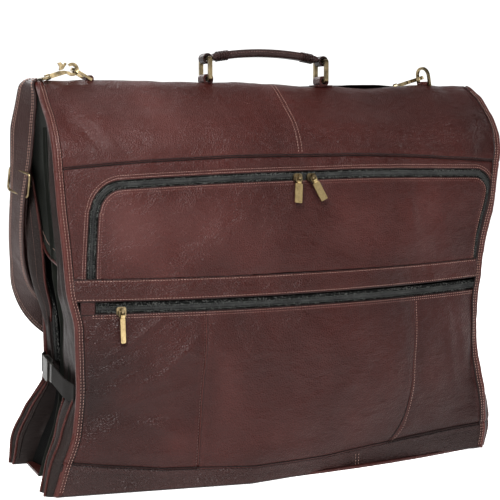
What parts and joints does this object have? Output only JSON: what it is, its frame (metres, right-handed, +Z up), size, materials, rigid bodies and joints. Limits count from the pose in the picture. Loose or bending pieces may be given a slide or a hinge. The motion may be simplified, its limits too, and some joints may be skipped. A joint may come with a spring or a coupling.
{
  "type": "garment bag",
  "caption": "Folded leather garment bag on edge, with arched top handle, clip-on shoulder strap, zipped front pockets and cinched ends.",
  "frame": {"origin": "middle of the footprint on the floor, under the bag without its shoulder strap", "axes": "+Z up through the handle, -Y out of the zipped front, +X towards the bag's right-hand end seen from the front"},
  "size_m": [0.661, 0.2709, 0.5435],
  "materials": {
    "leather": "dark brown semi-gloss",
    "lining": "dark grey-green twill",
    "zip_tape": "woven, matt",
    "webbing": "woven, matt",
    "board": "fibreboard",
    "brass": "polished",
    "antique_brass": "antique",
    "plastic": "satin"
  },
  "bodies": {
    "spine": {"spine_cover": "leather", "spine_gusset_left": "lining", "spine_gusset_right": "lining", "spine_stiffener": "board", "handle_base_left": "leather", "handle_base_right": "leather", "d_ring_anchor_left": "leather", "d_ring_anchor_right": "leather", "hook_eye_left": "antique_brass", "hook_eye_right": "antique_brass", "strap_left_end": "leather", "strap_right_end": "leather"},
    "handle_ring_left": {"handle_ring_left": "antique_brass"},
    "handle_grip": {"handle_grip": "leather"},
    "handle_ring_right": {"handle_ring_right": "antique_brass"},
    "d_ring_left": {"d_ring_left": "antique_brass"},
    "d_ring_right": {"d_ring_right": "antique_brass"},
    "snap_hook_left": {"snap_hook_left": "brass"},
    "snap_hook_right": {"snap_hook_right": "brass"},
    "hook_gate_left": {"hook_gate_left": "brass"},
    "hook_gate_right": {"hook_gate_right": "brass"},
    "front_half": {"front_cover": "leather", "front_lining": "lining", "front_hem": "leather", "front_gusset_left": "lining", "front_gusset_right": "lining", "upper_pocket": "leather", "centre_band": "leather", "lower_pocket": "leather", "bottom_band": "leather", "upper_zip": "zip_tape", "lower_zip": "zip_tape", "buckle_tongue_left": "plastic", "buckle_tongue_right": "plastic", "cinch_tail_front_left": "webbing", "cinch_tail_front_right": "webbing"},
    "back_half": {"back_cover": "leather", "back_lining": "lining", "hanger_bracket": "antique_brass", "back_hem": "leather", "back_gusset_left": "lining", "back_gusset_right": "lining", "garment_strap": "webbing", "buckle_socket_left": "plastic", "buckle_socket_right": "plastic", "cinch_tail_back_left": "webbing", "cinch_tail_back_right": "webbing", "strap_main": "leather"},
    "hanging_hook": {"hanging_hook": "antique_brass"},
    "upper_left_slider": {"upper_left_slider": "antique_brass"},
    "upper_left_pull_ring": {"upper_left_pull_ring": "antique_brass"},
    "upper_left_pull_tab": {"upper_left_pull_tab": "brass"},
    "upper_right_slider": {"upper_right_slider": "antique_brass"},
    "upper_right_pull_ring": {"upper_right_pull_ring": "antique_brass"},
    "upper_right_pull_tab": {"upper_right_pull_tab": "brass"},
    "lower_slider": {"lower_slider": "antique_brass"},
    "lower_pull_ring": {"lower_pull_ring": "antique_brass"},
    "lower_pull_tab": {"lower_pull_tab": "brass"}
  },
  "joints": [
    {"name": "front_fold", "type": "hinge", "parent": "spine", "child": "front_half", "pos_m": [0.0055, -0.0185, 0.462], "axis": [-1, 0, 0], "range_deg": [0, 80]},
    {"name": "back_fold", "type": "hinge", "parent": "spine", "child": "back_half", "pos_m": [0.0055, 0.1095, 0.462], "axis": [1, 0, 0], "range_deg": [0, 80], "deforming": ["strap_left_end", "strap_main", "strap_right_end"]},
    {"name": "handle_ring_left_swing", "type": "hinge", "parent": "spine", "child": "handle_ring_left", "pos_m": [-0.0795, 0.0455, 0.502], "axis": [0, 1, 0], "range_deg": [-60, 60]},
    {"name": "handle_grip_swing", "type": "hinge", "parent": "handle_ring_left", "child": "handle_grip", "pos_m": [-0.0795, 0.0455, 0.529], "axis": [0, 1, 0], "range_deg": [-60, 60]},
    {"name": "handle_ring_right_swing", "type": "hinge", "parent": "spine", "child": "handle_ring_right", "pos_m": [0.0905, 0.0455, 0.502], "axis": [0, 1, 0], "range_deg": [-60, 60]},
    {"name": "d_ring_left_swing", "type": "hinge", "parent": "spine", "child": "d_ring_left", "pos_m": [-0.2395, 0.0455, 0.4992], "axis": [0, 1, 0], "range_deg": [-3, 3]},
    {"name": "d_ring_right_swing", "type": "hinge", "parent": "spine", "child": "d_ring_right", "pos_m": [0.2555, 0.0455, 0.4992], "axis": [-0.2419, 0.9703, 0], "range_deg": [-4, 4]},
    {"name": "snap_hook_left_swivel", "type": "hinge", "parent": "spine", "child": "snap_hook_left", "pos_m": [-0.28903, 0.0455, 0.50208], "axis": [0.9511, 0, 0.309], "range_deg": [-9, 9]},
    {"name": "hook_gate_left_press", "type": "hinge", "parent": "snap_hook_left", "child": "hook_gate_left", "pos_m": [-0.27606, 0.0455, 0.51071], "axis": [0, -1, 0], "range_deg": [0, 14], "stiffness_Nm_per_rad": 0.02},
    {"name": "snap_hook_right_swivel", "type": "hinge", "parent": "spine", "child": "snap_hook_right", "pos_m": [0.22581, 0.06939, 0.49873], "axis": [0.8397, -0.4465, 0.309], "range_deg": [-9, 9]},
    {"name": "hook_gate_right_press", "type": "hinge", "parent": "snap_hook_right", "child": "hook_gate_right", "pos_m": [0.23643, 0.05899, 0.50336], "axis": [0.2728, -0.1451, -0.9511], "range_deg": [0, 14], "stiffness_Nm_per_rad": 0.02},
    {"name": "upper_left_slider_run", "type": "slide", "parent": "front_half", "child": "upper_left_slider", "axis": [-0.9997, 0.0239, 0], "range_m": [0, 0.2]},
    {"name": "upper_right_slider_run", "type": "slide", "parent": "front_half", "child": "upper_right_slider", "axis": [0.9997, 0.0239, 0], "range_m": [0, 0.2]},
    {"name": "lower_slider_run", "type": "slide", "parent": "front_half", "child": "lower_slider", "axis": [0.9905, -0.1375, 0], "range_m": [0, 0.1]},
    {"name": "upper_left_pull_ring_swing", "type": "hinge", "parent": "upper_left_slider", "child": "upper_left_pull_ring", "pos_m": [-0.0035, -0.08393, 0.37624], "axis": [-0.9925, 0.0235, 0.1196], "range_deg": [0, 100]},
    {"name": "upper_left_pull_tab_swing", "type": "hinge", "parent": "upper_left_pull_ring", "child": "upper_left_pull_tab", "pos_m": [-0.00428, -0.08516, 0.37], "axis": [-0.9925, 0.0235, 0.1196], "range_deg": [0, 50]},
    {"name": "upper_right_pull_ring_swing", "type": "hinge", "parent": "upper_right_slider", "child": "upper_right_pull_ring", "pos_m": [0.0155, -0.0839, 0.37623], "axis": [-0.9063, -0.0814, -0.4147], "range_deg": [0, 100]},
    {"name": "upper_right_pull_tab_swing", "type": "hinge", "parent": "upper_right_pull_ring", "child": "upper_right_pull_tab", "pos_m": [0.0182, -0.08502, 0.37054], "axis": [-0.9063, -0.0814, -0.4147], "range_deg": [0, 50]},
    {"name": "lower_pull_ring_swing", "type": "hinge", "parent": "lower_slider", "child": "lower_pull_ring", "pos_m": [-0.2415, -0.0967, 0.22053], "axis": [-1, 0, 0], "range_deg": [0, 100]},
    {"name": "lower_pull_tab_swing", "type": "hinge", "parent": "lower_pull_ring", "child": "lower_pull_tab", "pos_m": [-0.2415, -0.09724, 0.21415], "axis": [-1, 0, 0], "range_deg": [0, 50]},
    {"name": "hanging_hook_pull", "type": "slide", "parent": "back_half", "child": "hanging_hook", "axis": [0, 0, -1], "range_m": [0, 0.07]}
  ],
  "couplings": [
    {"joint": "back_fold", "follows": "front_fold", "ratio": 1},
    {"joint": "handle_grip_swing", "follows": "handle_ring_left_swing", "ratio": -1},
    {"joint": "handle_ring_right_swing", "follows": "handle_ring_left_swing", "ratio": 1}
  ]
}
